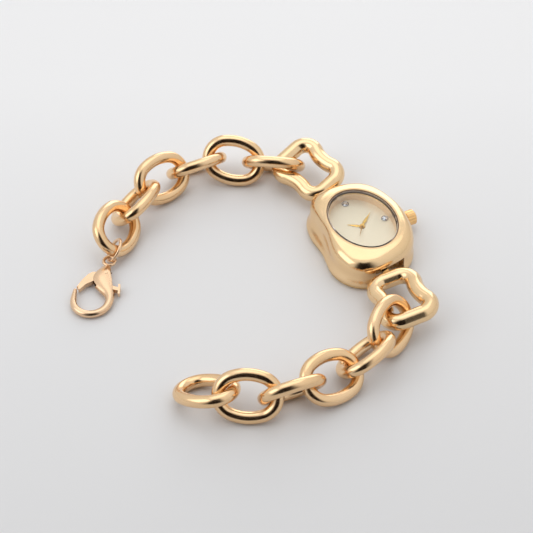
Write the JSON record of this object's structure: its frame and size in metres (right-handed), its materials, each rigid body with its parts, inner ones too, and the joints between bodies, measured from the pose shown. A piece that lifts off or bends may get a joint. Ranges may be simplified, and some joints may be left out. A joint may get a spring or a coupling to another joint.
{
  "type": "bracelet watch",
  "caption": "Oval dress watch on a chain bracelet of round-wire oval links, with hourglass end links and a sprung claw clasp.",
  "frame": {"origin": "centre of the flat face of the case back", "axes": "+Z out of the glass, +Y towards twelve o'clock and the upper chain, +X towards three o'clock and the crown"},
  "size_m": [0.0864, 0.0862, 0.0113],
  "materials": {
    "polished_gold": "gold plated, mirror polished",
    "clasp_gold": "gold plated, polished",
    "hand_gold": "gold plated, polished",
    "steel": "bright turned",
    "movement_brass": "satin",
    "movement_steel": "satin",
    "copper_winding": "enamelled wire",
    "board": "satin",
    "chip": "satin",
    "mineral_glass": "polished",
    "seal": "matt",
    "holder_plastic": "satin",
    "dial_lacquer": "sunray lacquer",
    "dial_ring_gold": "satin gold paint",
    "stone": "faceted"
  },
  "bodies": {
    "case": {"case": "polished_gold", "case_back": "polished_gold", "back_seal": "seal", "glass": "mineral_glass", "glass_seal": "seal", "dial_ring": "dial_ring_gold", "dial": "dial_lacquer", "dial_stones": "stone", "stone_settings": "hand_gold", "movement_holder": "holder_plastic", "main_plate": "movement_brass", "train_bridge": "movement_brass", "motor_core": "movement_steel", "motor_coil": "copper_winding", "motor_stator": "movement_steel", "button_cell": "movement_steel", "cell_clamp": "movement_brass", "circuit_board": "board", "timing_chip": "chip", "quartz_can": "movement_steel", "movement_screws": "movement_steel", "crown_tube": "steel", "upper_spring_bar": "steel", "lower_spring_bar": "steel"},
    "minute_train": {"minute_hand": "hand_gold", "centre_wheel": "movement_brass"},
    "hour_train": {"hour_hand": "hand_gold", "hour_wheel": "movement_brass"},
    "seconds_train": {"second_hand": "hand_gold", "seconds_wheel": "movement_brass"},
    "minute_wheel": {"minute_wheel": "movement_brass"},
    "third_wheel": {"third_wheel": "movement_brass"},
    "step_wheel": {"step_wheel": "movement_steel"},
    "rotor": {"rotor_pinion": "movement_steel", "rotor_magnet": "movement_steel"},
    "crown_slide": {"setting_lever": "steel"},
    "crown": {"crown": "polished_gold", "stem": "steel"},
    "jump_ring": {"jump_ring": "clasp_gold"},
    "clasp": {"clasp_body": "clasp_gold", "clasp_pin": "steel", "clasp_spring": "steel"},
    "clasp_lever": {"clasp_lever": "clasp_gold"},
    "upper_end_link": {"upper_end_link": "polished_gold"},
    "lower_end_link": {"lower_end_link": "polished_gold"},
    "upper_link_1": {"upper_link_1": "polished_gold"},
    "upper_link_2": {"upper_link_2": "polished_gold"},
    "upper_link_3": {"upper_link_3": "polished_gold"},
    "upper_link_4": {"upper_link_4": "polished_gold"},
    "upper_link_5": {"upper_link_5": "polished_gold"},
    "upper_link_6": {"upper_link_6": "polished_gold"},
    "lower_link_1": {"lower_link_1": "polished_gold"},
    "lower_link_2": {"lower_link_2": "polished_gold"},
    "lower_link_3": {"lower_link_3": "polished_gold"},
    "lower_link_4": {"lower_link_4": "polished_gold"},
    "lower_link_5": {"lower_link_5": "polished_gold"},
    "lower_link_6": {"lower_link_6": "polished_gold"}
  },
  "joints": [
    {"name": "upper_end_link_swing", "type": "hinge", "parent": "case", "child": "upper_end_link", "pos_m": [0, 0.0121, 0.0041], "axis": [1, 0, 0], "range_deg": [-27, 6]},
    {"name": "upper_link_1_swing", "type": "hinge", "parent": "upper_end_link", "child": "upper_link_1", "pos_m": [-0.00585, 0.0301, 0.00524], "axis": [-0.9249, -0.2558, -0.2813], "range_deg": [0, 60]},
    {"name": "upper_link_2_swing", "type": "hinge", "parent": "upper_link_1", "child": "upper_link_2", "pos_m": [-0.01482, 0.03299, 0.00556], "axis": [0.2624, 0.6193, -0.74], "range_deg": [-60, 60]},
    {"name": "upper_link_3_swing", "type": "hinge", "parent": "upper_link_2", "child": "upper_link_3", "pos_m": [-0.02282, 0.0389, 0.00654], "axis": [-0.4747, -0.4316, -0.767], "range_deg": [-60, 54]},
    {"name": "upper_link_4_swing", "type": "hinge", "parent": "upper_link_3", "child": "upper_link_4", "pos_m": [-0.03309, 0.03825, 0.00461], "axis": [0.0393, 0.7162, -0.6967], "range_deg": [-60, 60]},
    {"name": "upper_link_5_swing", "type": "hinge", "parent": "upper_link_4", "child": "upper_link_5", "pos_m": [-0.0428, 0.0353, 0.00593], "axis": [-0.0868, 0.5567, 0.8261], "range_deg": [-60, 60]},
    {"name": "upper_link_6_swing", "type": "hinge", "parent": "upper_link_5", "child": "upper_link_6", "pos_m": [-0.05058, 0.02869, 0.00437], "axis": [-0.4499, 0.6244, -0.6385], "range_deg": [-60, 60]},
    {"name": "lower_end_link_swing", "type": "hinge", "parent": "case", "child": "lower_end_link", "pos_m": [0, -0.0121, 0.0041], "axis": [-1, 0, 0], "range_deg": [-18, 5]},
    {"name": "lower_link_1_swing", "type": "hinge", "parent": "lower_end_link", "child": "lower_link_1", "pos_m": [-0.0062, -0.03097, 0.00552], "axis": [0.9812, -0.1088, 0.1592], "range_deg": [0, 48]},
    {"name": "lower_link_2_swing", "type": "hinge", "parent": "lower_link_1", "child": "lower_link_2", "pos_m": [-0.0146, -0.03462, 0.0051], "axis": [-0.368, 0.4821, 0.7951], "range_deg": [-60, 60]},
    {"name": "lower_link_3_swing", "type": "hinge", "parent": "lower_link_2", "child": "lower_link_3", "pos_m": [-0.02428, -0.03747, 0.00386], "axis": [0.1779, -0.7534, 0.6331], "range_deg": [-60, 60]},
    {"name": "lower_link_4_swing", "type": "hinge", "parent": "lower_link_3", "child": "lower_link_4", "pos_m": [-0.0343, -0.03839, 0.00507], "axis": [-0.0337, 0.8321, 0.5536], "range_deg": [-60, 60]},
    {"name": "lower_link_5_swing", "type": "hinge", "parent": "lower_link_4", "child": "lower_link_5", "pos_m": [-0.04442, -0.03758, 0.00591], "axis": [0.0074, -0.5042, 0.8636], "range_deg": [-60, 10]},
    {"name": "lower_link_6_swing", "type": "hinge", "parent": "lower_link_5", "child": "lower_link_6", "pos_m": [-0.05293, -0.03189, 0.00537], "axis": [-0.2937, -0.5108, -0.808], "range_deg": [-60, 60]},
    {"name": "jump_ring_swing", "type": "hinge", "parent": "upper_link_6", "child": "jump_ring", "pos_m": [-0.05547, 0.02069, 0.00304], "axis": [0.8295, 0.0657, -0.5546], "range_deg": [-20, 20]},
    {"name": "clasp_swing", "type": "hinge", "parent": "jump_ring", "child": "clasp", "pos_m": [-0.0576, 0.01973, 0.00137], "axis": [0, 0, 1], "range_deg": [-15, 15]},
    {"name": "minute_hand_turn", "type": "hinge", "parent": "case", "child": "minute_train", "pos_m": [0, 0, 0.004], "axis": [0, 0, 1], "continuous": true},
    {"name": "hour_hand_turn", "type": "hinge", "parent": "case", "child": "hour_train", "pos_m": [0, 0, 0.004], "axis": [0, 0, 1], "continuous": true},
    {"name": "second_hand_turn", "type": "hinge", "parent": "case", "child": "seconds_train", "pos_m": [0, 0, 0.004], "axis": [0, 0, 1], "continuous": true},
    {"name": "minute_wheel_turn", "type": "hinge", "parent": "case", "child": "minute_wheel", "pos_m": [-0.0008, -0.00139, 0.004], "axis": [0, 0, 1], "continuous": true},
    {"name": "third_wheel_turn", "type": "hinge", "parent": "case", "child": "third_wheel", "pos_m": [-0.00186, 0.00033, 0.004], "axis": [0, 0, 1], "continuous": true},
    {"name": "step_wheel_turn", "type": "hinge", "parent": "case", "child": "step_wheel", "pos_m": [0.00178, 0.00065, 0.004], "axis": [0, 0, 1], "continuous": true},
    {"name": "rotor_turn", "type": "hinge", "parent": "case", "child": "rotor", "pos_m": [0.00233, 0.00217, 0.004], "axis": [0, 0, 1], "continuous": true},
    {"name": "crown_pull", "type": "slide", "parent": "case", "child": "crown_slide", "axis": [1, 0, 0], "range_m": [0, 0.0009]},
    {"name": "crown_turn", "type": "hinge", "parent": "crown_slide", "child": "crown", "pos_m": [0.0121, 0, 0.0029], "axis": [1, 0, 0], "continuous": true},
    {"name": "clasp_lever_turn", "type": "hinge", "parent": "clasp", "child": "clasp_lever", "pos_m": [-0.06013, 0.01585, 0.00133], "axis": [-0.0212, -0.0241, 0.9995], "range_deg": [0, 18], "stiffness_Nm_per_rad": 0.002, "springref_deg": -17.19}
  ],
  "couplings": [
    {"joint": "hour_hand_turn", "follows": "minute_hand_turn", "ratio": 0.083333},
    {"joint": "second_hand_turn", "follows": "minute_hand_turn", "ratio": 60},
    {"joint": "third_wheel_turn", "follows": "minute_hand_turn", "ratio": -8},
    {"joint": "minute_wheel_turn", "follows": "minute_hand_turn", "ratio": -0.33333},
    {"joint": "step_wheel_turn", "follows": "minute_hand_turn", "ratio": -360},
    {"joint": "rotor_turn", "follows": "minute_hand_turn", "ratio": 1800}
  ]
}
